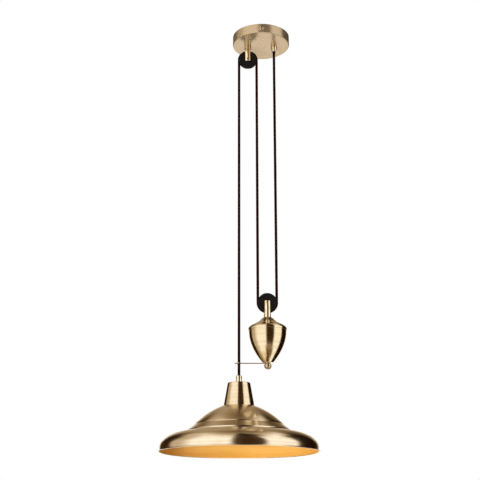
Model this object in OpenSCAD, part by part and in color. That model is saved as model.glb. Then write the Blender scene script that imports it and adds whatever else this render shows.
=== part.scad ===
// Rise and fall pendant: a ceiling rose, one flex over two wheels, a counterweight and a spun shade.
// Millimetres, +Z up. The origin is the middle of the rose on the ceiling plane. Wheels turn about Y.
// The flex runs gland, lower wheel, upper wheel, lamp, so the weight moves half as far as the lamp.

/* [Ceiling rose] */
// Outside diameter of the rose
rose_d = 155; // [125:1:190]
// Depth of the rose below the ceiling
rose_h = 25.5; // [21:0.5:40]
// Sheet thickness of the rose
rose_wall = 1.2; // [0.8:0.1:1.6]
// Radius on the lower edge of the rose
rose_edge_r = 2.5; // [2:0.5:5]
// Distance of the flex gland from the middle of the rose
gland_x = 35.5; // [30:0.5:43]
// Width of the ceiling strap
strap_w = 24; // [20:1:30]
// Thickness of the ceiling strap
strap_t = 1.5; // [1.2:0.1:2.5]
// Distance between the two ceiling slots
slot_spacing = 64; // [53:1:78]
// Width of a ceiling slot
slot_w = 4.6; // [4:0.1:6]
// End to end length of a ceiling slot
slot_len = 14; // [10:1:18]

/* [Wheels and yokes] */
// Radius of the flex's centreline on a wheel
turn_r = 24; // [20:0.5:29]
// Thickness of a flange at the edge of the groove
flange_t = 0.7; // [0.5:0.1:1.5]
// How far the flanges pass the flex's centreline
flange_past = 0.8; // [0.5:0.1:1.5]
// Thickness of the wheel's recessed web
web_t = 6; // [4:0.5:8]
// Diameter of a yoke rod
yoke_d = 18; // [15:0.5:22]
// Solid foot of a yoke below its slot
yoke_foot = 14; // [11:0.5:20]
// Room between the flex on a wheel and the floor of the slot
slot_room = 1; // [0.5:0.1:3]
// How far the ears pass the axle
yoke_ear = 5; // [4:0.5:8]
// Axle diameter
axle_d = 4; // [3:0.5:5]
// How far an axle head passes its axle
head_rim = 1; // [0.8:0.1:1.4]
// Wall of a wheel bush
bush_wall = 1.45; // [1:0.05:2]

/* [Flex] */
// Diameter of the braided flex
flex_d = 7; // [5.8:0.1:8.5]
// Diameter of one insulated core
core_d = 2.2; // [1.8:0.1:2.6]
// Upper axle down to the lower axle
weight_drop = 686; // [570:1:825]
// Upper axle down to the top of the lamp's cord grip
lamp_drop = 872; // [860:1:1100]

/* [Gland] */
// Diameter of the gland at the rose
gland_d = 16.5; // [14:0.5:20]
// Wall of the gland round its insert, at the lower end
gland_lip = 1.05; // [0.8:0.05:1.5]
// Wall of the plastic insert
insert_wall = 1.2; // [1:0.1:1.6]
// Length of the gland below the rose
gland_h = 17.5; // [14:0.5:21]
// How far the plastic insert shows below the gland
insert_show = 2.6; // [1.5:0.1:4]
// Wall of the threaded tubes of the gland and the lamp's nipple
thread_wall = 1.3; // [1:0.1:1.8]

/* [Counterweight] */
// Diameter of the counterweight at its rim
weight_d = 98; // [82:1:118]
// Sheet thickness of the cap
cap_wall = 1.2; // [0.8:0.1:1.6]
// Height of the cap
cap_h = 34; // [30:1:40]
// Straight skirt at the foot of the cap
cap_skirt = 4; // [3:0.5:6]
// Depth of the cup in the cap that seats the yoke
yoke_seat = 4.5; // [3:0.5:6]
// Height of the body below the cap
body_h = 81.6; // [68:0.1:98]
// How far below its tip the body's parabola would close to a point
body_blunt = 14.4; // [12:0.1:18]
// Sheet thickness of the body
body_wall = 1.5; // [1:0.1:2]
// Diameter of the boss on top of the iron core
boss_d = 24; // [18:1:26]
// Diameter of the tie rod and of the yoke screw
rod_d = 6; // [5:0.5:7]
// Diameter of the ball finial
ball_d = 18.4; // [16:0.2:22]
// How far the iron core stops below the rim, which trims its mass
core_drop = 1.5; // [0:0.1:6]

/* [Guide arm] */
// Rod diameter of the guide arm
arm_d = 2.4; // [2:0.1:3]
// Wire diameter of the guide ring
ring_wire_d = 2.8; // [2.6:0.1:3.4]
// Clearance round the flex in the guide ring
ring_gap = 1.2; // [0.8:0.1:2]
// Length of the tail past the ring
arm_tail = 5; // [3:0.5:8]

/* [Lamp holder] */
// Diameter of the cord grip
grip_d = 15; // [13:0.5:18]
// Height of the cord grip
grip_h = 18; // [15:0.5:22]
// Top diameter of the gallery cup
cup_top_d = 57; // [54:1:64]
// Bottom diameter of the gallery cup
cup_foot_d = 76.8; // [70:0.2:80]
// Height of the gallery cup
cup_h = 56.5; // [51:0.5:66]
// Sheet thickness of the gallery cup
cup_wall = 1; // [0.8:0.1:1.4]
// Room for the screws and the wall of the lampholder outside its screw shell
holder_side = 5.7; // [5:0.1:7]
// Inside diameter of the screw shell that takes the bulb
socket_d = 26.6; // [26:0.1:27]
// Length of the screw shell
socket_len = 24; // [22:1:27]
// Width of the shade ring
ring_w = 9; // [7.5:0.5:10]

/* [Shade] */
// Diameter of the shade over its lip
shade_d = 400; // [335:1:480]
// Height of the shade
shade_h = 112.5; // [96:0.5:135]
// Sheet thickness of the shade
shade_wall = 0.8; // [0.6:0.1:1.2]
// Radius of the crown at the first step
step_r = 107.5; // [90:0.5:120]
// Height of the first step's top above the rim
step_z = 69.5; // [60:0.5:83]
// Height of the first step
step_h = 4; // [3:0.5:6]
// Width of the band between the two steps
band_w = 20; // [17:0.5:24]
// Height of the second step's foot above the rim
bead_z = 47.5; // [40:0.5:52]
// Height of the second step
bead_h = 4.5; // [3:0.5:6]
// Height of the straight wall under the shoulder
skirt_h = 10; // [8:0.5:14]
// Width of the lip turned out at the rim
lip_w = 5.5; // [4:0.5:7]
// Rise of the crown's arc above its chord
crown_rise = 4.5; // [2:0.1:6]

/* [Fits] */
// Gap between parts that move past each other
run_gap = 0.3; // [0.3:0.05:0.5]
// Radial clearance of a bush on its axle
bush_gap = 0.05; // [0.02:0.01:0.08]
// Clearance of a part that drops into another
slip_gap = 0.2; // [0.1:0.05:0.3]

/* [Hidden] */
$fn = 96;
far = 1000;

brass = "#c9b07c";
antique = "#b59b6c";
dark_plastic = "#1c1816";
flex_brown = "#3a1710";
steel = "#b4b6b8";

// Centre lines in X, all set by the gland and the wheel radius, so every fall hangs plumb
lower_wheel_x = gland_x - turn_r;
middle_x = gland_x - 2 * turn_r;
upper_wheel_x = gland_x - 3 * turn_r;
lamp_x = gland_x - 4 * turn_r;

// Heights from the ceiling down
plate_top_z = -rose_h + rose_wall;
slot_floor = turn_r + flex_d / 2 + slot_room;
yoke_axle_h = yoke_foot + slot_floor;
upper_axle_z = -rose_h - yoke_axle_h;
lower_axle_z = upper_axle_z - weight_drop;
gland_end_z = -rose_h - gland_h - insert_show;
lower_base_z = lower_axle_z - yoke_axle_h;
weight_top_z = lower_base_z + yoke_seat;
rim_z = weight_top_z - cap_h;
tip_z = rim_z - body_h;
grip_top_z = upper_axle_z - lamp_drop;
cup_top_z = grip_top_z - grip_h;
shade_top_z = cup_top_z - cup_h;
shade_rim_z = shade_top_z - shade_h;

// Sizes that fits and neighbours give
groove_r = flex_d / 2 + run_gap;
wheel_t = 2 * (groove_r + flange_t);
bush_d = axle_d + 2 * (bush_gap + bush_wall);
axle_head_d = axle_d + 2 * head_rim;
yoke_slot_w = wheel_t + 2 * run_gap;
thread_depth = yoke_foot - 2.5;
insert_r = flex_d / 2 + insert_wall;
gland_end_r = insert_r + gland_lip;
flex_bore_r = flex_d / 2 + slip_gap;
thread_d = 2 * (flex_bore_r + thread_wall);
nut_across = thread_d + 4;
nut_h = 3.5;
body_r = weight_d / 2 - cap_wall - run_gap;
ring_r = flex_d / 2 + ring_gap + ring_wire_d / 2;
shell_wall = 0.5;
holder_d = socket_d + 2 * (shell_wall + holder_side);
ring_d = holder_d + 2 * ring_w;
bead_r = step_r + band_w;

// Points on a smooth curve through the points p, with n steps to a span
function smooth(p, n) = let (last = len(p) - 1) concat(
    [for (i = [0:last - 1], k = [0:n - 1])
        let (t = k / n, a = p[max(i - 1, 0)], b = p[i], c = p[i + 1], d = p[min(i + 2, last)])
        b + (c - a) * t / 2 + (2 * a - 5 * b + 4 * c - d) * t * t / 2
            + (3 * b - a - 3 * c + d) * t * t * t / 2],
    [p[last]]);

// Points on an arc about the point c
function arc(c, r, from, to, n) = [for (i = [0:n])
    let (a = from + (to - from) * i / n) c + r * [cos(a), sin(a)]];

// Points on an arc from a to b that rises by h to the left of the chord
function bow(a, b, h, n) = let (
    l = norm(b - a), r = (l * l / 4 + h * h) / (2 * h), u = (b - a) / l, v = [-u[1], u[0]],
    c = (a + b) / 2 - v * (r - h), half = asin(l / 2 / r), mid = atan2(v[1], v[0]))
    arc(c, r, mid + half, mid - half, n);

// The path p moved sideways by d, for the inside of a sheet
function shifted(p, d) = let (last = len(p) - 1) [for (i = [0:last])
    let (q = p[min(i + 1, last)] - p[max(i - 1, 0)], u = q / norm(q)) p[i] + d * [u[1], -u[0]]];

function reversed(p) = [for (i = [len(p) - 1:-1:0]) p[i]];

// A closed outline of a sheet of thickness t that follows the path p
function sheet(p, t) = concat(p, reversed(shifted(p, t)));

module along_y() {
    rotate([90, 0, 0]) children();
}

module tube(r_out, r_in, h) {
    difference() {
        cylinder(r = r_out, h = h);
        translate([0, 0, -1]) cylinder(r = r_in, h = h + 2);
    }
}

module hex(across, h) {
    cylinder(d = across / cos(30), h = h, $fn = 6);
}

// A round wire along the points p; side is any direction that the wire never runs along
module wire(p, r, side, sides = 8) {
    last = len(p) - 1;
    rings = [for (i = [0:last]) let (
        q = p[min(i + 1, last)] - p[max(i - 1, 0)], t = q / norm(q), c = cross(t, side),
        u = c / norm(c), v = cross(t, u)) [for (k = [0:sides - 1])
            p[i] + r * (cos(360 * k / sides) * u + sin(360 * k / sides) * v)]];
    points = [for (ring = rings) for (q = ring) q];
    walls = [for (i = [0:last - 1], k = [0:sides - 1]) let (
        a = i * sides + k, b = i * sides + (k + 1) % sides)
        [[a, a + sides, b + sides], [a, b + sides, b]]];
    faces = concat([for (w = walls) for (f = w) f],
        [for (k = [1:sides - 2]) [0, k, k + 1]],
        [for (k = [1:sides - 2]) [last * sides, last * sides + k + 1, last * sides + k]]);
    polyhedron(points, faces);
}

/* ---- Ceiling rose ---- */

screw_z = -rose_h / 2;
ear_y = sqrt(pow(rose_d / 2 - rose_wall, 2) - pow(strap_w / 2, 2)) - run_gap;
ear_t = 2;
side_thread_d = 4;
block_l = 18;
block_w = 22;
block_h = 13;
pole_y = 5.5;
lobe_w = 7.6;
block_screw_x = 6.5;
pole_z = -strap_t - 5;
barrel_d = 5.2;
clamp_d = 3;
earth_y = -(slot_spacing + slot_len) / 2 - 15;

module slot(w, l, h) {
    for (s = [-1, 1]) translate([0, s * (l - w) / 2, 0]) cylinder(d = w, h = h, center = true);
    cube([w, l - w, h], center = true);
}

module ceiling_bracket() {
    color(steel) difference() {
        union() {
            translate([-strap_w / 2, -ear_y, -strap_t]) cube([strap_w, 2 * ear_y, strap_t]);
            for (s = [0, 1]) mirror([0, s, 0]) {
                translate([-strap_w / 2, ear_y - ear_t, screw_z - 7]) cube([strap_w, ear_t, 7 - screw_z]);
            }
        }
        for (s = [-1, 1]) {
            translate([0, s * slot_spacing / 2, 0]) slot(slot_w, slot_len, 10);
            translate([0, s * ear_y, screw_z]) along_y()
                cylinder(d = side_thread_d, h = 4 * ear_t, center = true);
        }
        translate([block_screw_x, 0, -5]) cylinder(d = clamp_d, h = 10);
        translate([0, earth_y, -5]) cylinder(d = side_thread_d, h = 10);
    }
}

module rose_cover() {
    r = rose_d / 2;
    outer = concat([[r, 0]], arc([r - rose_edge_r, rose_edge_r - rose_h], rose_edge_r, 0, -90, 6));
    inner = concat(arc([r - rose_edge_r, rose_edge_r - rose_h], rose_edge_r - rose_wall, -90, 0, 6),
        [[r - rose_wall, 0]]);
    color(antique) difference() {
        rotate_extrude($fn = 180) polygon(concat([[0, plate_top_z], [0, -rose_h]],
            reversed(outer), reversed(inner)));
        translate([upper_wheel_x, 0, -rose_h - 1]) cylinder(d = rod_d, h = rose_wall + 2);
        translate([gland_x, 0, -rose_h - 1]) cylinder(d = thread_d, h = rose_wall + 2);
        translate([0, 0, screw_z]) along_y() cylinder(d = side_thread_d, h = rose_d + 2, center = true);
    }
}

// One side screw, its axis along +Z and its head above the washer
module side_screw() {
    head_r = 4.5;
    edge = 0.8;
    dome = 2.1;
    difference() {
        union() {
            translate([0, 0, -9]) cylinder(d = side_thread_d, h = 10);
            rotate_extrude() polygon(concat([[0, 0], [head_r, 0]],
                [for (a = [0:11.25:90]) [head_r * cos(a), edge + dome * sin(a)]]));
        }
        translate([-head_r, -0.5, edge + dome / 2]) cube([2 * head_r, 1, dome]);
    }
}

module on_rose_side(out) {
    for (s = [0, 180]) rotate([0, 0, s]) translate([0, -rose_d / 2 - out, screw_z])
        rotate([90, 0, 0]) children();
}

washer_t = 1.6;

module rose_screws() {
    color(brass) on_rose_side(washer_t) side_screw();
}

module rose_washers() {
    color(brass) on_rose_side(0) rotate_extrude() polygon([[side_thread_d / 2, 0], [6.5, 0],
        [6.3, 0.7], [5.2, washer_t], [side_thread_d / 2, washer_t]]);
}

module terminal_block() {
    color("#e9e6dc") difference() {
        union() {
            translate([-block_l / 2, -block_w / 2, -strap_t - 3])
                cube([block_l, block_w, 3]);
            for (s = [-1, 1]) translate([-block_l / 2, s * pole_y - lobe_w / 2, -strap_t - block_h + 4])
                cube([block_l, lobe_w, block_h - 4]);
            for (s = [-1, 1], e = [-1, 1])
                translate([e * 4.5, s * pole_y, -strap_t - block_h]) cylinder(d = 7, h = 6);
        }
        for (s = [-1, 1]) {
            translate([0, s * pole_y, pole_z]) rotate([0, 90, 0])
                cylinder(d = barrel_d, h = block_l + 2, center = true);
            for (e = [-1, 1]) translate([e * 4.5, s * pole_y, -strap_t - block_h - 1])
                cylinder(d = 4.2, h = block_h - 4);
        }
        translate([block_screw_x, 0, -strap_t - 4]) cylinder(d = clamp_d, h = 5);
    }
}

module terminal_barrels() {
    color(brass) for (s = [-1, 1]) translate([0, s * pole_y, pole_z]) difference() {
        rotate([0, 90, 0]) cylinder(d = barrel_d, h = block_l - 1, center = true);
        rotate([0, 90, 0]) cylinder(d = core_d + slip_gap, h = block_l + 1, center = true);
        for (e = [-1, 1]) translate([e * 4.5, 0, -barrel_d]) cylinder(d = clamp_d, h = barrel_d);
    }
}

module terminal_screws() {
    color(steel) {
        for (s = [-1, 1], e = [-1, 1]) translate([e * 4.5, s * pole_y, 0]) {
            translate([0, 0, -strap_t - block_h + 1.5])
                cylinder(d = clamp_d, h = pole_z - core_d / 2 + strap_t + block_h - 1.5);
        }
        translate([block_screw_x, 0, -strap_t - 3]) cylinder(d = clamp_d, h = 3 + strap_t);
        translate([block_screw_x, 0, -strap_t - 5]) cylinder(d = clamp_d, h = 2);
    }
}

// A screw with a square plate above the earth core and a washer below it
module earth_terminal() {
    plate_t = 1.2;
    grip = core_d + slip_gap;
    washer_z = -strap_t - plate_t - grip - plate_t;
    color(brass) translate([0, earth_y, 0]) {
        translate([-5, -5, -strap_t - plate_t]) cube([10, 10, plate_t]);
        translate([0, 0, washer_z]) cylinder(d = side_thread_d, h = -washer_z);
        translate([0, 0, washer_z]) cylinder(d = 9, h = plate_t);
        translate([0, 0, washer_z - 2.4]) hex(7, 2.4);
    }
}

yoke_washer_t = 1.5;

module yoke_washer() {
    color(steel) translate([upper_wheel_x, 0, plate_top_z]) tube(8, rod_d / 2, yoke_washer_t);
}

module yoke_screw() {
    color(steel) translate([upper_wheel_x, 0, 0]) {
        translate([0, 0, -rose_h - thread_depth])
            cylinder(d = rod_d, h = thread_depth + rose_wall + yoke_washer_t);
        translate([0, 0, plate_top_z + yoke_washer_t]) hex(10, 4);
    }
}

/* ---- Yokes, axles and wheels ---- */

// A slotted rod that stands on z = 0, with its axle across it along Y
module yoke() {
    chamfer = 0.8;
    top = yoke_axle_h + yoke_ear;
    r = yoke_d / 2;
    color(brass) difference() {
        rotate_extrude() polygon([[0, 0], [r, 0], [r, top - chamfer], [r - chamfer, top], [0, top]]);
        translate([-yoke_d, -yoke_slot_w / 2, yoke_foot]) cube([2 * yoke_d, yoke_slot_w, far]);
        translate([0, 0, -1]) cylinder(d = rod_d, h = thread_depth + 1);
        translate([0, 0, yoke_axle_h]) along_y() {
            cylinder(d = axle_d, h = yoke_d + 2, center = true);
            for (s = [0, 1]) mirror([0, 0, s]) translate([0, 0, head_y]) cylinder(d = axle_head_d, h = yoke_d);
        }
    }
}

head_y = yoke_d / 2 - 1.2;
head_show = 0.3;

// A pin with a turned head at the front and a riveted head at the back
module axle() {
    edge = yoke_d / 2 + head_show;
    head_r = axle_head_d / 2;
    color(brass) along_y() rotate_extrude($fn = 48) polygon([[0, -edge], [head_r - 0.5, -edge],
        [head_r, 0.4 - edge], [head_r, -head_y], [axle_d / 2, -head_y], [axle_d / 2, head_y],
        [head_r, head_y], [head_r, edge - 0.4], [head_r - 0.5, edge], [0, edge]]);
}

module wheel() {
    hub_r = bush_d / 2 + 3;
    rim_in = turn_r - groove_r - 2.5;
    slope = 1;
    color(dark_plastic) along_y() rotate_extrude($fn = 120) difference() {
        polygon([[bush_d / 2, -wheel_t / 2], [hub_r, -wheel_t / 2], [hub_r + slope, -web_t / 2],
            [rim_in - slope, -web_t / 2], [rim_in, -wheel_t / 2], [turn_r + flange_past, -wheel_t / 2],
            [turn_r + flange_past, wheel_t / 2], [rim_in, wheel_t / 2], [rim_in - slope, web_t / 2],
            [hub_r + slope, web_t / 2], [hub_r, wheel_t / 2], [bush_d / 2, wheel_t / 2]]);
        translate([turn_r, 0]) circle(r = groove_r);
    }
}

module bush() {
    bush_l = wheel_t + run_gap;
    color(brass) along_y() translate([0, 0, -bush_l / 2])
        tube(bush_d / 2, axle_d / 2 + bush_gap, bush_l);
}

module at_upper_axle() {
    translate([upper_wheel_x, 0, upper_axle_z]) children();
}

module at_lower_axle() {
    translate([lower_wheel_x, 0, lower_axle_z]) children();
}

module upper_yoke() {
    translate([upper_wheel_x, 0, -rose_h]) mirror([0, 0, 1]) yoke();
}

module lower_yoke() {
    translate([lower_wheel_x, 0, lower_base_z]) yoke();
}

module upper_axle() {
    at_upper_axle() axle();
}

module lower_axle() {
    at_lower_axle() axle();
}

module upper_wheel() {
    at_upper_axle() wheel();
}

module lower_wheel() {
    at_lower_axle() wheel();
}

module upper_bush() {
    at_upper_axle() bush();
}

module lower_bush() {
    at_lower_axle() bush();
}

/* ---- Gland ---- */

gland_shank = 7;
// How far the insert reaches up into the gland
insert_in = 8;

module gland_body() {
    r = gland_d / 2;
    end_r = gland_end_r;
    top = -rose_h + gland_shank;
    color(brass) translate([gland_x, 0, 0]) rotate_extrude() polygon(concat(
        [[flex_bore_r, top], [thread_d / 2, top], [thread_d / 2, -rose_h]],
        smooth([[r - 0.6, -rose_h], [r, -rose_h - 0.6], [r, -rose_h - 3.5],
            [end_r + (r - end_r) * 0.45, -rose_h - gland_h * 0.62], [end_r, -rose_h - gland_h + 0.5],
            [end_r - 0.5, -rose_h - gland_h]], 4),
        [[insert_r, -rose_h - gland_h], [insert_r, -rose_h - gland_h + insert_in],
            [flex_bore_r, -rose_h - gland_h + insert_in]]));
}

module gland_insert() {
    end = gland_end_z;
    top = end + insert_show + insert_in;
    color(dark_plastic) translate([gland_x, 0, 0]) rotate_extrude() polygon([[flex_d / 2, end],
        [insert_r - 0.5, end], [insert_r, end + 1], [insert_r, top], [flex_d / 2, top]]);
}

module gland_nut() {
    color(brass) translate([gland_x, 0, plate_top_z]) difference() {
        hex(nut_across, nut_h);
        translate([0, 0, -1]) cylinder(d = thread_d, h = nut_h + 2);
    }
}

/* ---- Flex ---- */

tail_top_z = -rose_h + gland_shank + 1.5;
// Where each core leaves the braid, and where it ends
core_out = core_d / 2 + 0.25;

module flex_run(x, top, foot) {
    color(flex_brown) translate([x, 0, foot]) cylinder(d = flex_d, h = top - foot, $fn = 48);
}

module flex_turn() {
    color(flex_brown) rotate_extrude(angle = 180) translate([turn_r, 0]) circle(d = flex_d, $fn = 48);
}

module flex_rose_tail() {
    flex_run(gland_x, tail_top_z, gland_end_z);
}

module flex_gland_fall() {
    flex_run(gland_x, gland_end_z, lower_axle_z);
}

module flex_middle_fall() {
    flex_run(middle_x, upper_axle_z, lower_axle_z);
}

module flex_lamp_fall() {
    flex_run(lamp_x, upper_axle_z, grip_top_z);
}

module flex_upper_wrap() {
    at_upper_axle() rotate([90, 0, 0]) flex_turn();
}

module flex_lower_wrap() {
    at_lower_axle() rotate([-90, 0, 0]) flex_turn();
}

// Two cores go to the terminal block and the third to the earth terminal
module rose_cores() {
    start = [gland_x, 0, tail_top_z + slip_gap];
    rise = 3.2;
    block_face = block_l / 2;
    color("#7a4a2a") for (s = [-1, 1]) {
        entry = [block_face, s * pole_y, pole_z];
        out = start + [-core_out, s * core_out, 0];
        path = smooth([out, out + [0, 0, 1], out + [0, 0, rise],
            [gland_x - 7, s * 2.6, pole_z - 1.2], (start + entry) / 2 + [0, s * 1.5, (pole_z - tail_top_z) / 2],
            entry + [5, 0, 0], entry, entry - [4, 0, 0]], 4);
        wire(path, core_d / 2, [0, 1, 0]);
    }
    foot = [0, earth_y, -strap_t - 1.2 - (core_d + slip_gap) / 2];
    clamp = foot + [side_thread_d / 2 + core_d / 2 + slip_gap, 0, 0];
    out = start + [core_out, 0, 0];
    path = smooth([out, out + [0, 0, 1], out + [0, 0, rise], [gland_x - 1, -9, foot[2] - 1.5],
        [gland_x - 14, -28, foot[2]], clamp + [3, 12, 0], clamp + [0, 3, 0], clamp + [0, -2.5, 0]], 4);
    color("#7c9a3a") wire(path, core_d / 2, [1, 0, 0.2]);
}

/* ---- Counterweight ---- */

cup_r = yoke_d / 2 + slip_gap / 2;
lip_r = cup_r + cap_wall;
// Radius and depth of the ogee as shares of its own width and height
cap_ogee = [[0, 0], [0.11, 0.11], [0.25, 0.285], [0.43, 0.46], [0.69, 0.64], [0.885, 0.79],
    [0.98, 0.93], [1, 1]];

module at_weight() {
    translate([lower_wheel_x, 0, 0]) children();
}

module weight_cap() {
    width = weight_d / 2 - lip_r;
    fall = cap_h - cap_skirt;
    ogee = smooth([for (p = cap_ogee) [lip_r + width * p[0], weight_top_z - fall * p[1]]], 4);
    outer = concat(ogee, [[weight_d / 2, rim_z]]);
    floor_z = lower_base_z - cap_wall;
    inner = shifted(outer, cap_wall);
    under = [for (p = inner) if (p[1] < floor_z && p[0] > boss_d / 2) p];
    color(antique) at_weight() rotate_extrude($fn = 120) polygon(concat(
        [[rod_d / 2 + slip_gap, lower_base_z], [cup_r, lower_base_z], [cup_r, weight_top_z]],
        outer, [[weight_d / 2 - cap_wall, rim_z]], reversed(under),
        [[under[0][0], floor_z], [rod_d / 2 + slip_gap, floor_z]]));
}

// Radius of the body's parabola at the depth t below the rim
function body_at(t) = body_r * (1 - pow(t / (body_h + body_blunt), 2));

module weight_body() {
    steps = 16;
    up = cap_skirt - run_gap;
    outer = concat([[body_r, rim_z + up]],
        [for (i = [0:steps]) let (t = body_h * i / steps) [body_at(t), rim_z - t]]);
    inner = [for (p = shifted(outer, body_wall)) if (p[1] > tip_z + body_wall) p];
    floor_r = body_at(body_h - body_wall) - body_wall;
    color(antique) at_weight() rotate_extrude($fn = 120) polygon(concat(outer,
        [[rod_d / 2 + slip_gap, tip_z], [rod_d / 2 + slip_gap, tip_z + body_wall],
            [floor_r, tip_z + body_wall]], reversed(inner)));
}

module weight_core() {
    steps = 12;
    margin = body_wall + 0.8;
    depth = body_h - body_wall;
    top_z = rim_z - core_drop;
    side = [for (i = [0:steps]) let (t = core_drop + (depth - core_drop) * i / steps)
        [body_at(t) - margin, rim_z - t]];
    color("#4a4644") at_weight() rotate_extrude() polygon(concat(
        [[rod_d / 2 + slip_gap, lower_base_z - cap_wall], [boss_d / 2, lower_base_z - cap_wall],
            [boss_d / 2, top_z], [side[0][0], top_z]], side,
        [[rod_d / 2 + slip_gap, tip_z + body_wall]]));
}

// The arm's eye is a little thicker than its rod
eye_t = arm_d + 0.4;
ball_z = tip_z - eye_t - 5;

module tie_rod() {
    bottom = ball_z - 3;
    color(steel) at_weight() translate([0, 0, bottom])
        cylinder(d = rod_d, h = lower_base_z + thread_depth - bottom);
}

module ball_finial() {
    color(brass) at_weight() difference() {
        translate([0, 0, ball_z]) sphere(d = ball_d);
        translate([-ball_d, -ball_d, tip_z - eye_t]) cube([2 * ball_d, 2 * ball_d, ball_d]);
        translate([0, 0, ball_z - 3]) cylinder(d = rod_d, h = far);
    }
}

// A wire with an eye on the tie rod, and a loop with a short tail round the lamp's flex
module guide_arm() {
    eye_r = rod_d / 2 + 3.2;
    reach = lower_wheel_x - lamp_x;
    color(brass) translate([0, 0, tip_z - eye_t / 2]) {
        at_weight() translate([0, 0, -eye_t / 2]) tube(eye_r, rod_d / 2, eye_t);
        translate([lamp_x + ring_r, 0, 0]) rotate([0, 90, 0])
            cylinder(d = arm_d, h = reach - ring_r - eye_r + 1.2, $fn = 32);
        translate([lamp_x, 0, 0]) {
            rotate_extrude() translate([ring_r, 0]) circle(d = ring_wire_d, $fn = 32);
            translate([-ring_r - arm_tail, 0, 0]) rotate([0, 90, 0]) cylinder(d = arm_d, h = arm_tail, $fn = 32);
        }
    }
}

/* ---- Lamp ---- */

nipple_top_z = cup_top_z + 9;
holder_top_z = cup_top_z - cup_wall - nut_h;
nipple_foot_z = holder_top_z - 6;
holder_wall = 1.6;
// How far the holder's thread stands out under the shade
holder_past = 10;
// The screw shell stands inside the holder's end, and the insulator above it
shell_inset = 5.8;
shell_room = 3.5;
insulator_bite = 2;
holder_end_z = shade_top_z - shade_wall - holder_past;
shell_top_z = holder_end_z + shell_inset + socket_len;
insulator_z = shell_top_z + shell_room;
holder_join_z = insulator_z + insulator_bite;
clamp_flange = 3;
insulator_t = 9;
insulator_flange_t = 6;
small_screw_out = holder_d / 2 - 3.5;
small_screw_d = 2;

module at_lamp() {
    translate([lamp_x, 0, 0]) children();
}

module lamp_grip() {
    r = grip_d / 2;
    bore = flex_d / 2 + slip_gap / 2;
    color(brass) at_lamp() difference() {
        rotate_extrude() polygon([[bore, grip_top_z], [r - 1, grip_top_z], [r, grip_top_z - 1],
            [r, cup_top_z + 0.6], [r - 0.6, cup_top_z], [thread_d / 2, cup_top_z],
            [thread_d / 2, nipple_top_z], [bore, nipple_top_z]]);
        translate([0, 0, grip_top_z - 4.5]) along_y() cylinder(d = 3, h = grip_d);
    }
}

module grip_screw() {
    length = (grip_d - flex_d) / 2 - 0.4;
    color(brass) at_lamp() translate([0, -flex_d / 2, grip_top_z - 4.5]) along_y() difference() {
        cylinder(d = 3, h = length);
        translate([-2, -0.35, length - 1]) cube([4, 0.7, 2]);
    }
}

module flex_lamp_tail() {
    flex_run(lamp_x, grip_top_z, nipple_foot_z - 1);
}

module hollow_nipple() {
    color(steel) at_lamp() translate([0, 0, nipple_foot_z])
        tube(thread_d / 2, flex_bore_r, nipple_top_z - nipple_foot_z);
}

module nipple_nut() {
    color(steel) at_lamp() translate([0, 0, cup_top_z - cup_wall - nut_h]) difference() {
        hex(nut_across, nut_h);
        translate([0, 0, -1]) cylinder(d = thread_d, h = nut_h + 2);
    }
}

module gallery_cup() {
    top_r = cup_top_d / 2;
    foot_r = cup_foot_d / 2;
    edge = 1.6;
    outer = concat([[thread_d / 2, cup_top_z]],
        reversed(arc([top_r - edge, cup_top_z - edge], edge, 8, 90, 5)), [[foot_r, shade_top_z]]);
    inner = concat([[foot_r - cup_wall, shade_top_z]],
        arc([top_r - edge, cup_top_z - edge], edge - cup_wall, 8, 90, 5),
        [[thread_d / 2, cup_top_z - cup_wall]]);
    color(antique) at_lamp() rotate_extrude($fn = 120) polygon(concat(outer, inner));
}

module holder_cap() {
    r = holder_d / 2;
    foot = holder_join_z;
    top = holder_top_z;
    round = 5;
    boss_r = thread_d / 2 + 3;
    color("#2a2623") at_lamp() rotate_extrude() polygon(concat([[thread_d / 2, top]],
        reversed(arc([r - round, top - round], round, 0, 90, 6)), [[r, foot], [r - holder_wall, foot]],
        arc([r - round, top - round], round - holder_wall, 0, 45, 3),
        [[boss_r, top - holder_wall - 1.2], [boss_r, nipple_foot_z], [thread_d / 2, nipple_foot_z]]));
}

// Two small screws hold the insulator down on the ledge of the holder's body
module insulator_screws() {
    color(steel) at_lamp() for (s = [-1, 1]) translate([0, s * small_screw_out, 0]) {
        translate([0, 0, insulator_z - 4]) cylinder(d = small_screw_d, h = insulator_flange_t + 4);
        translate([0, 0, insulator_z + insulator_flange_t]) cylinder(d = 3.2, h = 1.4);
    }
}

terminal_x = 9;
post_d = 4.4;
post_h = 4;
terminal_plate_t = 0.8;
screw_head_d = 3.4;

module holder_insulator() {
    r = holder_d / 2 - holder_wall - slip_gap;
    color("#efe9da") at_lamp() translate([0, 0, insulator_z]) difference() {
        union() {
            cylinder(r = r, h = insulator_flange_t);
            cylinder(r = small_screw_out - 1.9, h = insulator_t);
        }
        translate([0, 0, -1]) cylinder(d = 5, h = far);
        for (s = [-1, 1]) {
            translate([0, s * small_screw_out, -1]) cylinder(d = small_screw_d, h = far);
            translate([s * terminal_x, 0, insulator_t - post_h]) cylinder(d = post_d, h = post_h + 1);
        }
    }
}

// A post sunk in the insulator, with a plate on it and a clamping screw
module holder_terminals() {
    color(brass) at_lamp() for (s = [-1, 1])
        translate([s * terminal_x, 0, insulator_z + insulator_t - post_h]) {
            cylinder(d = post_d, h = post_h);
            translate([0, 0, post_h]) cylinder(d = 5.2, h = terminal_plate_t);
            translate([0, 0, post_h + terminal_plate_t]) cylinder(d = screw_head_d, h = 1.6);
        }
}

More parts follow.
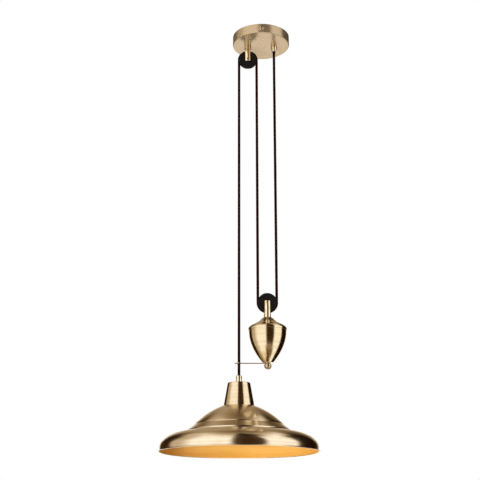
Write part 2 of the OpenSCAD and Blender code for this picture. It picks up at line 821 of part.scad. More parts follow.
module holder_cores() {
    top = nipple_foot_z - 1 - slip_gap;
    rest = insulator_z + insulator_t + terminal_plate_t + core_d / 2;
    side = screw_head_d / 2 + core_d / 2;
    color("#7a4a2a") at_lamp() for (s = [-1, 1]) {
        path = smooth([[s * core_out, 0, top], [s * core_out, 0, top - 2],
            [s * (core_out + 2), side / 2, (top + rest) / 2],
            [s * (terminal_x - 2.5), side, rest + 0.7], [s * terminal_x, side, rest],
            [s * (terminal_x + 2), side, rest]], 3);
        wire(path, core_d / 2, [0, 1, 0.2]);
    }
}

module centre_contact() {
    color(brass) at_lamp() {
        translate([0, 0, insulator_z - 1]) cylinder(d = 7, h = 1);
        translate([0, 0, insulator_z]) cylinder(d = 5, h = insulator_t + 0.4);
        translate([-2.2, -3, insulator_z - 3.2]) cube([4.4, 6, 2.2]);
    }
}

module screw_shell() {
    color(brass) at_lamp() translate([0, 0, shell_top_z - socket_len])
        tube(socket_d / 2 + shell_wall, socket_d / 2, socket_len);
}

module holder_body() {
    r = holder_d / 2;
    bore = socket_d / 2 + shell_wall;
    flange_r = ring_d / 2 - 3;
    seat_r = small_screw_out - small_screw_d / 2 - 0.6;
    color("#2a2623") at_lamp() difference() {
        rotate_extrude() polygon([[r, holder_join_z], [r, shade_top_z + clamp_flange],
            [flange_r, shade_top_z + clamp_flange], [flange_r, shade_top_z], [r, shade_top_z],
            [r, holder_end_z + 1], [r - 1, holder_end_z], [bore + 0.6, holder_end_z],
            [bore, holder_end_z + 0.6], [bore, shell_top_z], [seat_r, shell_top_z], [seat_r, insulator_z],
            [r - holder_wall, insulator_z], [r - holder_wall, holder_join_z]]);
        for (s = [-1, 1]) translate([0, s * small_screw_out, insulator_z - 4])
            cylinder(d = small_screw_d, h = 5);
    }
}

module shade_ring() {
    r = ring_d / 2;
    top = shade_top_z - shade_wall;
    color("#2a2623") at_lamp() difference() {
        rotate_extrude() polygon([[holder_d / 2, top], [r, top], [r, top - 2.2], [r - 1, top - 3],
            [holder_d / 2 + 3.4, top - 3.6], [holder_d / 2 + 2.6, top - 8.5], [holder_d / 2, top - 8.5]]);
        for (a = [0:30:330]) rotate([0, 0, a]) translate([r + 0.6, 0, top - 4]) cylinder(r = 1.3, h = 5, $fn = 24);
    }
}

/* ---- Shade ---- */

module shade() {
    rim_r = shade_d / 2 - lip_w;
    hole_r = holder_d / 2 + slip_gap;
    neck_r = cup_foot_d / 2;
    shoulder_w = rim_r - bead_r - 2.5;
    shoulder_h = bead_z - skirt_h;
    lip_r = 3;
    outer = concat(
        [[hole_r, shade_h]],
        bow([neck_r, shade_h], [step_r, step_z], crown_rise, 10),
        smooth([[step_r + 0.8, step_z - 1.2], [step_r + 1.4, step_z - step_h / 2],
            [step_r + 2.4, step_z - step_h]], 2),
        smooth([[bead_r, bead_z + bead_h], [bead_r + 0.9, bead_z + bead_h / 2], [bead_r + 2.5, bead_z]], 2),
        [for (a = [84:-6:0]) [bead_r + 2.5 + shoulder_w * cos(a), skirt_h + shoulder_h * sin(a)]],
        arc([rim_r + lip_r, lip_r + shade_wall], lip_r, 180, 270, 5),
        [[shade_d / 2, shade_wall]]);
    color(antique) at_lamp() translate([0, 0, shade_rim_z]) rotate_extrude($fn = 240)
        polygon(sheet(outer, shade_wall));
}

ceiling_bracket();
rose_cover();
rose_screws();
rose_washers();
terminal_block();
terminal_barrels();
terminal_screws();
earth_terminal();
yoke_washer();
yoke_screw();
upper_yoke();
upper_axle();
gland_body();
gland_insert();
gland_nut();
flex_rose_tail();
rose_cores();
flex_gland_fall();
flex_middle_fall();
flex_upper_wrap();
flex_lamp_fall();
upper_wheel();
upper_bush();
lower_yoke();
lower_axle();
weight_cap();
weight_body();
weight_core();
tie_rod();
guide_arm();
ball_finial();
flex_lower_wrap();
lower_wheel();
lower_bush();
lamp_grip();
grip_screw();
flex_lamp_tail();
hollow_nipple();
nipple_nut();
gallery_cup();
holder_cap();
insulator_screws();
holder_insulator();
holder_terminals();
holder_cores();
centre_contact();
screw_shell();
holder_body();
shade_ring();
shade();
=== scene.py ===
"""Looks, light and camera for the rise and fall pendant.

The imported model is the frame. Each sub-assembly of the pendant is a class: it turns or sweeps its own
pieces round that frame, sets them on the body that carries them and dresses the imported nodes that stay.
Lengths are millimetres in a sub-assembly's fields and sections, and metres once they are a mesh.
"""

import logging
import math
from dataclasses import dataclass, replace
from enum import Enum
from itertools import accumulate

import bmesh
import bpy
from bpy.types import Mesh, Node, NodeSocket, NodeTree, Object
from mathutils import Matrix, Vector


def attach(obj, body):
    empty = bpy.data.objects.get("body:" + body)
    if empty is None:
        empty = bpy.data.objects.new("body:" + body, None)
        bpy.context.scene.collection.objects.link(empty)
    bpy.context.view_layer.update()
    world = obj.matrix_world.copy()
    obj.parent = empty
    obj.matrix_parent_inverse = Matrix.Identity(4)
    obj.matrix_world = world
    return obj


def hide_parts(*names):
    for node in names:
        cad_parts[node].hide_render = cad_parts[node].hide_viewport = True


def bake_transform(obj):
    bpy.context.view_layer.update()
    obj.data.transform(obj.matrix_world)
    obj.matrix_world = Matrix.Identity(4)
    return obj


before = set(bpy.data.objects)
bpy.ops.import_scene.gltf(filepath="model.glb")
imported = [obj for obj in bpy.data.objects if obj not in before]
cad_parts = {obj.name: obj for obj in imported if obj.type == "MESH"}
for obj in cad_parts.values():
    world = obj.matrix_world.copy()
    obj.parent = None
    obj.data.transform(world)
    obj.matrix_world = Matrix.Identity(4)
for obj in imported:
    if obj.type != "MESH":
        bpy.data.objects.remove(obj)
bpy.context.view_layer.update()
log = logging.getLogger("pendant")

MM = 0.001
Colour = tuple[float, float, float, float]
Point = tuple[float, float, float]
Span = tuple[float, float]
# Corners that turn more than this get a small radius, and points nearer than WELD mm are one
SHARP = math.radians(14)
WELD = 0.0005
# A rounded corner takes at most this share of each flat, and its guard points stand this share further on
CORNER_SHARE = 0.3
GUARD_SHARE = 0.2
# Flats round a spun piece and round an insulated core
SPUN_SIDES = 160
CORE_SIDES = 16

# The places that every sub-assembly hangs from: the gland, and the flex's turns on its two wheels
GLAND_X = 35.5
TURN_R = 24.0
UPPER_AXLE_Z = -68.0
LOWER_AXLE_Z = -754.0
GRIP_TOP_Z = -940.0
WEIGHT_X = GLAND_X - TURN_R
UPPER_WHEEL_X = GLAND_X - 3 * TURN_R
LAMP_X = GLAND_X - 4 * TURN_R


class Body(str, Enum):
    """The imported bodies, by what each one is."""

    ROOT = "root"
    UPPER_PULLEY = "upper_pulley"
    COUNTERWEIGHT = "counterweight"
    LOWER_PULLEY = "lower_pulley"
    LAMP = "lamp"


class Axis(Enum):
    """The direction that a turned piece's axis runs in."""

    UP = "up"
    ACROSS = "across"


class ColourMix(int, Enum):
    """Sockets of a node that mixes colours."""

    FACTOR = 0
    A = 6
    B = 7
    RESULT = 2


class PlainMix(int, Enum):
    """Inputs of a node that mixes plain values."""

    FACTOR = 0
    A = 2
    B = 3


# ---- Nodes and colour ----


def linear(code: str) -> Colour:
    """Turns a colour as it is seen into the values that shaders take.

    Args:
        code: an sRGB colour such as "#c9b07c".

    Returns:
        Its linear red, green, blue and an alpha of 1.
    """
    channels = [int(code[i:i + 2], 16) / 255 for i in (1, 3, 5)]
    curve = [c / 12.92 if c <= 0.04045 else ((c + 0.055) / 1.055) ** 2.4 for c in channels]
    return (curve[0], curve[1], curve[2], 1.0)


def feed(node: Node, inputs: dict | tuple) -> None:
    """Sets or links a node's inputs.

    Args:
        node: the node.
        inputs: plain values, sockets, or nodes for their first output, by the input's name or number, or in
            the inputs' order.
    """
    for key, value in inputs.items() if isinstance(inputs, dict) else enumerate(inputs):
        source = value.outputs[0] if isinstance(value, Node) else value
        if isinstance(source, NodeSocket):
            node.id_data.links.new(source, node.inputs[key])
        else:
            node.inputs[key].default_value = source


def add_node(tree: NodeTree, kind: str, inputs: dict | tuple = (), **settings: object) -> Node:
    """Adds a shader node with its settings and links.

    Args:
        tree: the node tree that gets the node.
        kind: the node's class name, without the part that all shader nodes share.
        inputs: what feeds it.
        settings: the node's own properties.

    Returns:
        The new node.
    """
    node = tree.nodes.new("ShaderNode" + kind)
    for name, value in settings.items():
        setattr(node, name, value)
    feed(node, inputs)
    return node


# ---- Finishes ----


@dataclass(frozen=True)
class Finish:
    """A real material and how its surface was made."""

    name: str
    slot: str
    colour: str
    metallic: float = 0.0
    roughness: float = 0.5
    coat: float = 0.0
    specular: float = 0.5

    def material(self) -> bpy.types.Material:
        """Returns the finish's material, made the first time it is asked for."""
        found = bpy.data.materials.get(self.name)
        if found:
            return found
        made = bpy.data.materials.new(self.name)
        made.use_nodes = True
        shader = made.node_tree.nodes["Principled BSDF"]
        feed(shader, {"Base Color": linear(self.colour), "Metallic": self.metallic,
            "Roughness": self.roughness, "Coat Weight": self.coat, "Specular IOR Level": self.specular})
        self.wire(made.node_tree, shader)
        return made

    def wire(self, tree: NodeTree, shader: Node) -> None:
        """Adds the finish's own pattern to a fresh shader.

        Args:
            tree: the material's nodes.
            shader: its Principled shader.
        """
        raise NotImplementedError(self.name)


@dataclass(frozen=True)
class Grained(Finish):
    """A moulded, cast, plated or glazed surface, told apart by its grain, its stains and its gloss."""

    stain: str = "#000000"
    stain_mm: float = 12.0
    stain_amount: float = 0.3
    stain_span: Span = (0.35, 0.7)
    stain_detail: float = 4.0
    stain_ragged: float = 0.6
    grain_mm: float = 0.4
    grain_depth_mm: float = 0.01
    grain_detail: float = 3.0
    rough_span: Span = (0.3, 0.7)
    rough_change: Span = (-0.06, 0.06)

    def wire(self, tree: NodeTree, shader: Node) -> None:
        """Adds the grain and the stains."""
        place = add_node(tree, "TexCoord").outputs["Object"]
        grain = add_node(tree, "TexNoise", {"Vector": place, "Scale": 1 / (self.grain_mm * MM),
            "Detail": self.grain_detail})
        bump = add_node(tree, "Bump", {"Height": grain, "Strength": 1.0,
            "Distance": self.grain_depth_mm * MM})
        self.stained(tree, shader, self.clouds(tree, place))
        feed(shader, {"Normal": bump})

    def clouds(self, tree: NodeTree, place: NodeSocket) -> Node:
        """Returns a noise of the stains' size."""
        return add_node(tree, "TexNoise", {"Vector": place, "Scale": 1 / (self.stain_mm * MM),
            "Detail": self.stain_detail, "Roughness": self.stain_ragged})

    def stained(self, tree: NodeTree, shader: Node, pattern: Node, **settings: object) -> None:
        """Stains the colour and changes the gloss where a pattern is strong.

        Args:
            tree: the material's nodes.
            shader: its Principled shader.
            pattern: the node that gives the pattern.
            settings: how the stain fades in.
        """
        amount = add_node(tree, "MapRange", (pattern, *self.stain_span, 0.0, self.stain_amount), **settings)
        tone = add_node(tree, "Mix", {ColourMix.FACTOR: amount, ColourMix.A: linear(self.colour),
            ColourMix.B: linear(self.stain)}, data_type="RGBA")
        ends = [self.roughness + change for change in self.rough_change]
        rough = add_node(tree, "MapRange", (pattern, *self.rough_span, *ends))
        feed(shader, {"Base Color": tone.outputs[ColourMix.RESULT], "Roughness": rough})


@dataclass(frozen=True)
class TurnedBrass(Grained):
    """Brass bar turned on a lathe and buffed bright under clear lacquer.

    Cutting marks half a millimetre apart, coarser than the real ones so that they show, blur the light a
    little along the bar. The buffed skin is yellower and sharper than the spun sheet.
    """

    stain: str = "#a8823a"
    stain_mm: float = 9.0
    stain_amount: float = 0.5
    stain_span: Span = (0.4, 0.75)
    stain_detail: float = 3.0
    stain_ragged: float = 0.5
    grain_mm: float = 0.5
    grain_depth_mm: float = 0.0012
    grain_detail: float = 2.0
    rough_change: Span = (-0.04, 0.06)


@dataclass(frozen=True)
class SpunBrass(Grained):
    """Brass sheet spun on a former, toned with an antique wash and lacquered satin.

    The roller leaves fine circles round the axis, drawn coarser than the real ones so that they show. They
    spread the light up and down the profile and not round it, so flags in the studio show as upright bands
    with fairly crisp sides. The wash lies a little darker between the circles and in slow clouds.
    """

    stain: str = "#c9ab78"
    stain_mm: float = 45.0
    stain_span: Span = (0.75, 1.3)
    stain_detail: float = 3.0
    grain_mm: float = 0.7
    grain_depth_mm: float = 0.004
    grain_detail: float = 2.0
    rough_span: Span = (0.6, 1.4)
    rough_change: Span = (-0.03, 0.05)
    axis_x_mm: float = 0.0
    roller_mm: float = 6.0
    roller_depth_mm: float = 0.01
    roller_detail: float = 1.0
    anisotropic: float = 0.6
    quarter_turn: float = 0.25

    def wire(self, tree: NodeTree, shader: Node) -> None:
        """Adds the roller's circles and the wash."""
        place = add_node(tree, "TexCoord").outputs["Object"]
        centred = add_node(tree, "VectorMath", (place, (self.axis_x_mm * MM, 0, 0)), operation="SUBTRACT")
        x, y, z = add_node(tree, "SeparateXYZ", (centred,)).outputs
        flat = add_node(tree, "CombineXYZ", (x, y))
        radius = add_node(tree, "VectorMath", (flat,), operation="LENGTH").outputs["Value"]
        profile = add_node(tree, "CombineXYZ", (radius, z))
        lines, rolled = (add_node(tree, "TexNoise", {"Vector": profile, "Scale": 1 / (size * MM),
            "Detail": detail}, noise_dimensions="2D") for size, detail in (
                (self.grain_mm, self.grain_detail), (self.roller_mm, self.roller_detail)))
        streak = add_node(tree, "Math", (rolled, self.clouds(tree, place)), operation="ADD")
        self.stained(tree, shader, streak, interpolation_type="SMOOTHSTEP")
        rollers = add_node(tree, "Bump", {"Height": rolled, "Strength": 1.0,
            "Distance": self.roller_depth_mm * MM})
        fine = add_node(tree, "Bump", {"Height": lines, "Strength": 1.0,
            "Distance": self.grain_depth_mm * MM, "Normal": rollers})
        tangent = add_node(tree, "Tangent", direction_type="RADIAL", axis="Z")
        feed(shader, {"Normal": fine, "Tangent": tangent, "Anisotropic": self.anisotropic,
            "Anisotropic Rotation": self.quarter_turn})


@dataclass(frozen=True)
class BraidedFlex(Finish):
    """Rayon braid over a round mains flex, sixteen yarns in two directions.

    The yarns cross as small diamonds; painted shade darkens the hollows, and each yarn shows its own redder
    colour where it bends over its neighbour. The UV map runs once round the flex and in metres along it.
    """

    specular: float = 0.0
    # The hollows' colour is painted shade between the yarns
    hollow_shade: str = "#1a0504"
    yarns_a_way: int = 8
    pitch_mm: float = 14.0
    yarn_depth_mm: float = 0.08
    fuzz_mm: float = 0.5

    def wire(self, tree: NodeTree, shader: Node) -> None:
        """Adds the two sets of yarns and the order in which they cross."""
        places = add_node(tree, "TexCoord").outputs
        u, v = add_node(tree, "SeparateXYZ", (places["UV"],)).outputs[:2]
        around = add_node(tree, "Math", (u, self.yarns_a_way), operation="MULTIPLY")
        along = add_node(tree, "Math", (v, self.yarns_a_way / (self.pitch_mm * MM)), operation="MULTIPLY")
        humps, turns = [], []
        for way in ("ADD", "SUBTRACT"):
            phase = add_node(tree, "Math", (around, along), operation=way)
            turns.append(add_node(tree, "Math", (phase,), operation="FLOOR"))
            wave = add_node(tree, "Math", (phase, math.pi), operation="MULTIPLY")
            sine = add_node(tree, "Math", (wave,), operation="SINE")
            humps.append(add_node(tree, "Math", (sine,), operation="ABSOLUTE"))
        both = add_node(tree, "Math", (turns[0], turns[1]), operation="ADD")
        over = add_node(tree, "Math", (both, 2.0), operation="FLOORED_MODULO")
        height = add_node(tree, "Mix", {PlainMix.FACTOR: over, PlainMix.A: humps[0], PlainMix.B: humps[1]},
            data_type="FLOAT")
        fuzz = add_node(tree, "TexNoise", {"Vector": places["Object"], "Scale": 1 / (self.fuzz_mm * MM),
            "Detail": 2.0})
        rise = add_node(tree, "Math", (height, fuzz), operation="MULTIPLY")
        # Painted shade: the hollows take the darker colour, the humps the yarn's own
        tone = add_node(tree, "Mix", {ColourMix.FACTOR: height, ColourMix.A: linear(self.hollow_shade),
            ColourMix.B: linear(self.colour)}, data_type="RGBA")
        bump = add_node(tree, "Bump", {"Height": rise, "Strength": 1.0, "Distance": self.yarn_depth_mm * MM})
        feed(shader, {"Base Color": tone.outputs[ColourMix.RESULT], "Normal": bump})


# Antique-washed sheet: pale champagne in the light, tan where the wash lies, one finish for each axis
# The shade's copy is painted lighter than the weight's and the cup's, as painted light for its shoulder's
# highlights
SPUN_SHADE = SpunBrass("spun_antique_brass_shade", "antique_brass", "#f8e6c9", 1.0, 0.2, axis_x_mm=LAMP_X)
SPUN_WEIGHT = replace(SPUN_SHADE, name="spun_antique_brass_weight", colour="#f2dfbc",
    axis_x_mm=WEIGHT_X, roughness=0.17)
SPUN_CUP = replace(SPUN_SHADE, name="spun_antique_brass_cup", colour="#f1ddbc", roughness=0.17)
# The rose's milky lacquer hides about a third of the metal, yet still mirrors the pulley softly
SPUN_ROSE = replace(SPUN_SHADE, name="spun_antique_brass_rose", colour="#cab08c", stain="#b39668",
    stain_amount=0.12, axis_x_mm=0.0, metallic=0.68, roughness=0.25, anisotropic=0.0,
    roller_depth_mm=0.002, grain_depth_mm=0.0008)
# The sheet's inner side: a deep gold pigmented lacquer that hides most of the metal, browner in places
SPUN_INSIDE = replace(SPUN_SHADE, name="spun_gold_lacquered_brass", colour="#e8b054", stain="#d0923a",
    metallic=0.15, roughness=0.45, stain_amount=0.25, anisotropic=0.0)
# Buffed bar: clear yellow with sharp highlights
BAR = TurnedBrass("turned_lacquered_brass", "polished_brass", "#f9ecca", 1.0, 0.11)
# Small turned pieces toned with the rose: the same bar under the antique wash
TONED_BAR = replace(BAR, name="turned_antique_brass", colour="#d9c19b", stain="#8d6d42", roughness=0.2)
# Zinc plate on steel: bluish grey with a faint cloudy passivation
ZINC = Grained("zinc_plated_steel", "zinc_steel", "#b9bcbf", 1.0, 0.34, stain="#8f9296",
    grain_depth_mm=0.002)
# Nylon moulded black: near-black with a low sheen and a spark-eroded grain
NYLON = Grained("moulded_black_nylon", "black_plastic", "#0e0a09", 0.0, 0.44, stain="#080605",
    grain_mm=0.5, specular=0.3)
# Phenolic moulded brown-black: glossy press finish
PHENOLIC = Grained("moulded_phenolic", "black_phenolic", "#231a15", 0.0, 0.24, stain="#150f0c", coat=0.3)
# White nylon terminal block: waxy, with a faint cloudiness
WHITE_NYLON = Grained("moulded_white_nylon", "white_nylon", "#e8e4d8", 0.0, 0.45, stain="#d6d1c2")
# Glazed steatite insulator: cream with a glassy skin
STEATITE = Grained("glazed_steatite", "steatite", "#e9e2d0", 0.0, 0.2, stain="#d9cfb8", coat=0.5)
# Sand-cast iron: dark, rough and pitted
IRON = Grained("sand_cast_iron", "cast_iron", "#3d3a38", 1.0, 0.62, stain="#24201e", grain_mm=1.2,
    grain_depth_mm=0.15)
# PVC insulation on the cores: smooth and a little glossy, in the three usual colours
CORE_BROWN = Grained("extruded_pvc_brown", "core_insulation", "#6b3a1f", 0.0, 0.35, stain="#5a2f18")
CORE_BLUE = replace(CORE_BROWN, name="extruded_pvc_blue", colour="#2f6fb4", stain="#285f9c")
CORE_EARTH = replace(CORE_BROWN, name="extruded_pvc_green_yellow", colour="#7fa52c", stain="#d8c534",
    stain_mm=5.0, stain_amount=0.8)
# Rayon braid: near-black maroon, matt, with its diamonds drawn coarser than real ones so that they show
BRAID = BraidedFlex("braided_rayon_flex", "flex_braid", "#2e0e09", 0.0, 0.85)


# ---- Sections and paths ----


def arc(centre: Vector, radius: float, start: float, end: float, steps: int = 12) -> list[Vector]:
    """Lists points on a round corner.

    Args:
        centre: the arc's centre.
        radius: its radius.
        start: the first angle in degrees.
        end: the last angle in degrees.
        steps: how many chords it has.

    Returns:
        The arc's points in order.
    """
    angles = [math.radians(start + (end - start) * i / steps) for i in range(steps + 1)]
    return [centre + radius * Vector((math.cos(a), math.sin(a))) for a in angles]


def bow(start: Vector, end: Vector, rise: float, steps: int = 48) -> list[Vector]:
    """Lists points on a shallow arc from one point to another.

    Args:
        start: its first point.
        end: its last point.
        rise: how far it stands to the left of the chord.
        steps: how many chords it has.

    Returns:
        The arc's points in order.
    """
    chord = end - start
    left = Vector((-chord.y, chord.x)).normalized()
    radius = (chord.length_squared / 4 + rise * rise) / (2 * rise)
    half = math.degrees(math.asin(chord.length / 2 / radius))
    middle = math.degrees(math.atan2(left.y, left.x))
    return arc((start + end) / 2 - left * (radius - rise), radius, middle + half, middle - half, steps)


def smoothed(points: list[Vector], spans: int = 8) -> list[Vector]:
    """Runs one smooth curve through a few points.

    Args:
        points: what it passes through.
        spans: how many chords it has between two of them.

    Returns:
        The curve's points in order.
    """
    last = len(points) - 1
    curve = []
    for i in range(last):
        a, b, c, d = points[max(i - 1, 0)], points[i], points[i + 1], points[min(i + 2, last)]
        for k in range(spans):
            t = k / spans
            curve.append(b + (c - a) * t / 2 + (2 * a - 5 * b + 4 * c - d) * t * t / 2
                + (3 * b - a - 3 * c + d) * t ** 3 / 2)
    return curve + [points[last]]


def runs_along(path: list[Vector]) -> list[float]:
    """Lists how far along a path each of its points is."""
    return list(accumulate(((b - a).length for a, b in zip(path, path[1:])), initial=0.0))


def heading(path: list[Vector], i: int) -> Vector:
    """Returns the direction that a path runs in at its point number i."""
    return (path[min(i + 1, len(path) - 1)] - path[max(i - 1, 0)]).normalized()


def beside(path: list[Vector], distance: float) -> list[Vector]:
    """Moves a path sideways, for the far face of a sheet.

    Args:
        path: the near face.
        distance: the sheet's thickness.

    Returns:
        The far face's points, in the same order.
    """
    ways = [heading(path, i) for i in range(len(path))]
    return [point + distance * Vector((way.y, -way.x)) for point, way in zip(path, ways)]


def softened(section: list[Vector], radius: float, steps: int = 4) -> list[Vector]:
    """Gives a closed section's sharp corners the small radius that tools and buffing leave.

    Args:
        section: points of radius and height.
        radius: the corners' radius.
        steps: how many chords a corner has.

    Returns:
        The section with its corners rounded, and a point just past each one that keeps the flats flat.
    """
    soft = []
    for i, corner in enumerate(section):
        back = section[i - 1] - corner
        ahead = section[(i + 1) % len(section)] - corner
        if corner.x < WELD or min(back.length, ahead.length) < WELD or math.pi - back.angle(ahead) < SHARP:
            soft.append(corner)
            continue
        turn = math.pi - back.angle(ahead)
        reach = min(radius * math.tan(turn / 2), CORNER_SHARE * back.length, CORNER_SHARE * ahead.length)
        start = corner + reach * back.normalized()
        end = corner + reach * ahead.normalized()
        soft.append(start + GUARD_SHARE * reach * back.normalized())
        for k in range(steps + 1):
            t = k / steps
            soft.append(start * (1 - t) ** 2 + corner * 2 * t * (1 - t) + end * t * t)
        soft.append(end + GUARD_SHARE * reach * ahead.normalized())
    return soft


# ---- Making pieces ----


def shell(name: str, rings: list[list[Vector]], runs: list[float], joins: list[tuple[int, int]],
        capped: bool = False) -> Mesh:
    """Joins rings of points with smooth faces into one closed mesh.

    Args:
        name: the mesh's name.
        rings: each ring's points in metres.
        runs: how far along the section or path each ring is, in metres.
        joins: the pairs of rings that have faces between them.
        capped: whether the first and last rings are closed with a flat face.

    Returns:
        The mesh, with a UV map that runs once round it and in metres from ring to ring.
    """
    work = bmesh.new()
    uv = work.loops.layers.uv.new("UVMap")
    made = [[work.verts.new(point) for point in ring] for ring in rings]
    sides = len(rings[0])
    for i, j in joins:
        for k in range(sides):
            n = (k + 1) % sides
            face = work.faces.new((made[i][k], made[i][n], made[j][n], made[j][k]))
            face.smooth = True
            for loop, (step, ring) in zip(face.loops, ((k, i), (k + 1, i), (k + 1, j), (k, j))):
                loop[uv].uv = (step / sides, runs[ring])
    if capped:
        work.faces.new(made[0])
        work.faces.new(made[-1][::-1])
    bmesh.ops.remove_doubles(work, verts=work.verts, dist=WELD * MM)
    bmesh.ops.recalc_face_normals(work, faces=work.faces)
    mesh = bpy.data.meshes.new(name)
    work.to_mesh(mesh)
    work.free()
    return mesh


def turned(name: str, section: list[Vector], centre: Point, axis: Axis = Axis.UP,
        sides: int = SPUN_SIDES) -> Mesh:
    """Turns a closed section round an axis, as a lathe or a spinning former does.

    Args:
        name: the mesh's name.
        section: points of radius and height along the axis, in millimetres.
        centre: the axis's foot in millimetres.
        axis: which way the axis runs.
        sides: how many flats go round it.

    Returns:
        The closed mesh.
    """
    turns = [2 * math.pi * k / sides for k in range(sides)]
    rings = []
    for point in section:
        flat = [point.x * Vector((math.cos(a), math.sin(a))) for a in turns]
        around = [(p.x, p.y, point.y) if axis is Axis.UP else (p.x, point.y, p.y) for p in flat]
        rings.append([(Vector(p) + Vector(centre)) * MM for p in around])
    pairs = [(i, (i + 1) % len(section)) for i in range(len(section))]
    joins = [(i, j) for i, j in pairs if max(section[i].x, section[j].x) >= WELD]
    return shell(name, rings, [run * MM for run in runs_along(section)], joins)


def sweep(name: str, path: list[Vector], radius: float, sides: int = 24) -> Mesh:
    """Makes a round tube along a path, turned no more than the path turns.

    Args:
        name: the mesh's name.
        path: the centreline's points in metres.
        radius: the tube's radius in metres.
        sides: how many flats go round it.

    Returns:
        The tube's closed mesh.
    """
    turns = [2 * math.pi * k / sides for k in range(sides)]
    rings = []
    out = (path[1] - path[0]).orthogonal()
    for i, centre in enumerate(path):
        ahead = heading(path, i)
        out = (out - ahead * out.dot(ahead)).normalized()
        up = ahead.cross(out)
        rings.append([centre + radius * (math.cos(a) * out + math.sin(a) * up) for a in turns])
    joins = [(i, i + 1) for i in range(len(path) - 1)]
    return shell(name, rings, runs_along(path), joins, capped=True)


def placed(name: str, data: bpy.types.ID) -> Object:
    """Puts a mesh, a lamp or a camera in the scene.

    Args:
        name: the object's name.
        data: what it shows.

    Returns:
        The new object.
    """
    made = bpy.data.objects.new(name, data)
    bpy.context.scene.collection.objects.link(made)
    return made


def new_piece(name: str, mesh: Mesh, finish: Finish, body: Body | None, *nodes: str) -> Object:
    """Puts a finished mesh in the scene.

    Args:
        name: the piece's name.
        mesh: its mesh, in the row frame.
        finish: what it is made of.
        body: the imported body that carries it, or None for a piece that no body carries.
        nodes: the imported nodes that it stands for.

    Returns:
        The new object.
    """
    piece = placed(name, mesh)
    mesh.materials.append(finish.material())
    if body:
        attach(piece, body.value)
    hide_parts(*nodes)
    log.info("made %s: %d faces of %s", name, len(mesh.polygons), finish.name)
    return piece


def dress(finish: Finish, *nodes: str) -> None:
    """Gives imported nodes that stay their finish.

    Args:
        finish: what they are made of.
        nodes: the nodes' names.
    """
    for name in nodes:
        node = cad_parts[name]
        node.data.materials.clear()
        node.data.materials.append(finish.material())
        log.info("dressed %s in %s", name, finish.name)


# ---- Flex ----


@dataclass
class Flex:
    """The one braided flex: gland to lower wheel to upper wheel to lamp."""

    diameter: float = 7.0
    turn_r: float = TURN_R
    gland_x: float = GLAND_X
    rose_tail_top: float = -17.0
    gland_end: float = -45.6
    upper_axle: float = UPPER_AXLE_Z
    lower_axle: float = LOWER_AXLE_Z
    grip_top: float = GRIP_TOP_Z
    lamp_tail_end: float = -969.5
    ring_step: float = 9.0
    turn_steps: int = 24

    def fall(self, x: float, start: float, end: float) -> list[Vector]:
        """Lists the points of a straight run.

        Args:
            x: where the run hangs.
            start: its first height.
            end: its last height.

        Returns:
            Points from start to end, in metres.
        """
        steps = max(2, round(abs(end - start) / self.ring_step))
        return [Vector((x, 0, start + (end - start) * i / steps)) * MM for i in range(steps + 1)]

    def turn(self, x: float, z: float, over: bool) -> list[Vector]:
        """Lists the points of the half turn round a wheel, from its right side to its left.

        Args:
            x: the wheel's centre.
            z: the wheel's height.
            over: whether the flex passes over the wheel and not under it.

        Returns:
            Points from the right side to the left side, in metres.
        """
        way = self.turn_r if over else -self.turn_r
        steps = [math.pi * i / self.turn_steps for i in range(self.turn_steps + 1)]
        return [Vector((x + self.turn_r * math.cos(a), 0, z + way * math.sin(a))) * MM for a in steps]

    def build(self) -> None:
        """Makes the two stretches of flex, which meet at the upper wheel, and the ends in rose and lamp."""
        lower_x, middle_x, upper_x, lamp_x = (self.gland_x - n * self.turn_r for n in (1, 2, 3, 4))
        weight_path = (self.fall(self.gland_x, self.gland_end, self.lower_axle)[:-1]
            + self.turn(lower_x, self.lower_axle, over=False)
            + self.fall(middle_x, self.lower_axle, self.upper_axle)[1:])
        lamp_path = (self.turn(upper_x, self.upper_axle, over=True)
            + self.fall(lamp_x, self.upper_axle, self.grip_top)[1:])
        self.stretch("flex_weight_loop", weight_path, Body.COUNTERWEIGHT, self.lower_axle,
            "flex_gland_fall", "flex_lower_wrap", "flex_middle_fall")
        self.stretch("flex_lamp_line", lamp_path, Body.LAMP, self.grip_top,
            "flex_upper_wrap", "flex_lamp_fall")
        # The ends that the gland and the cord grip hold
        for name, x, top, foot, body, node in (
                ("flex_end_in_rose", self.gland_x, self.rose_tail_top, self.gland_end, Body.ROOT,
                    "flex_rose_tail"),
                ("flex_end_in_lamp", lamp_x, self.grip_top, self.lamp_tail_end, Body.LAMP,
                    "flex_lamp_tail")):
            mesh = sweep(name, self.fall(x, top, foot), self.diameter / 2 * MM)
            new_piece(name, mesh, BRAID, body, node)

    def stretch(self, name: str, path: list[Vector], body: Body, foot: float, *nodes: str) -> None:
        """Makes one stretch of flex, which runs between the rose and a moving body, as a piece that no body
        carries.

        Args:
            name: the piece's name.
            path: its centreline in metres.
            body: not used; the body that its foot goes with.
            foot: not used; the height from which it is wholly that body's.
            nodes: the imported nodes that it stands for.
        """
        piece = new_piece(name, sweep(name, path, self.diameter / 2 * MM), BRAID, None, *nodes)
        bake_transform(piece)


# ---- Ceiling rose ----


